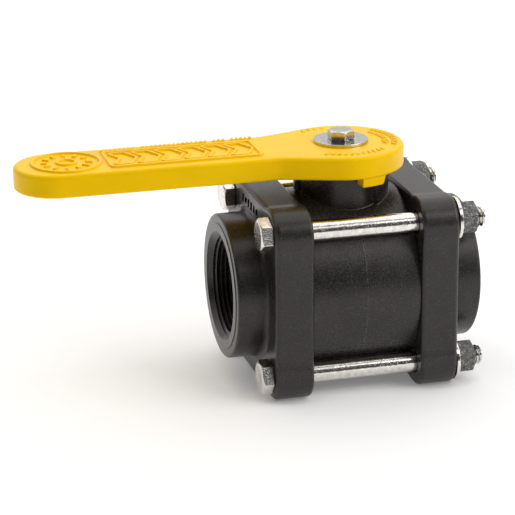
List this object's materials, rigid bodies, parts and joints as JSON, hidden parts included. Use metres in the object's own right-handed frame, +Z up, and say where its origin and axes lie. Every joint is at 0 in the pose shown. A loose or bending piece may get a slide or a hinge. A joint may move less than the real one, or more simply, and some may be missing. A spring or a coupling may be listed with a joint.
{
  "type": "ball valve",
  "caption": "Bolted plastic ball valve with two square flanged end caps, threaded pipe ports, a full bore ball and a quarter turn lever handle.",
  "frame": {"origin": "centre of the ball, where the pipe axis and the stem axis cross", "axes": "+X along the pipe towards the nut side, away from the lever's tip at rest; +Z up the stem; +Y across the pipe, towards where the lever points when closed"},
  "size_m": [0.2118, 0.0904, 0.1164],
  "materials": {
    "black_plastic": "glass filled moulded plastic, fine satin grain",
    "yellow_plastic": "moulded plastic, semi-gloss",
    "stem_plastic": "machined plastic, satin",
    "ball_plastic": "polished plastic",
    "seat_ptfe": "turned PTFE, waxy",
    "seal_rubber": "smooth moulded rubber",
    "stainless": "drawn stainless steel",
    "dark_steel": "dull grey mottled steel"
  },
  "bodies": {
    "valve_body": {"body": "black_plastic", "end_cap_left": "black_plastic", "end_cap_right": "black_plastic", "seat_left": "seat_ptfe", "seat_right": "seat_ptfe", "seat_oring_left": "seal_rubber", "seat_oring_right": "seal_rubber", "body_oring_left": "seal_rubber", "body_oring_right": "seal_rubber", "stem_thrust_washer": "seat_ptfe", "bolt_front_top": "stainless", "bolt_front_bottom": "stainless", "bolt_back_top": "stainless", "bolt_back_bottom": "stainless", "washer_front_top": "stainless", "washer_front_bottom": "stainless", "washer_back_top": "stainless", "washer_back_bottom": "stainless", "nut_front_top": "dark_steel", "nut_front_bottom": "dark_steel", "nut_back_top": "dark_steel", "nut_back_bottom": "dark_steel"},
    "lever": {"handle": "yellow_plastic", "handle_washer": "stainless", "handle_screw": "stainless", "stem": "stem_plastic", "stem_oring_lower": "seal_rubber", "stem_oring_upper": "seal_rubber"},
    "ball_core": {"ball": "ball_plastic"}
  },
  "joints": [
    {"name": "handle_turn", "type": "hinge", "parent": "valve_body", "child": "lever", "pos_m": [0, 0, 0], "axis": [0, 0, 1], "range_deg": [-90, 0]},
    {"name": "ball_turn", "type": "hinge", "parent": "valve_body", "child": "ball_core", "pos_m": [0, 0, 0], "axis": [0, 0, 1], "range_deg": [-90, 0]}
  ],
  "couplings": [
    {"joint": "ball_turn", "follows": "handle_turn", "ratio": 1}
  ]
}
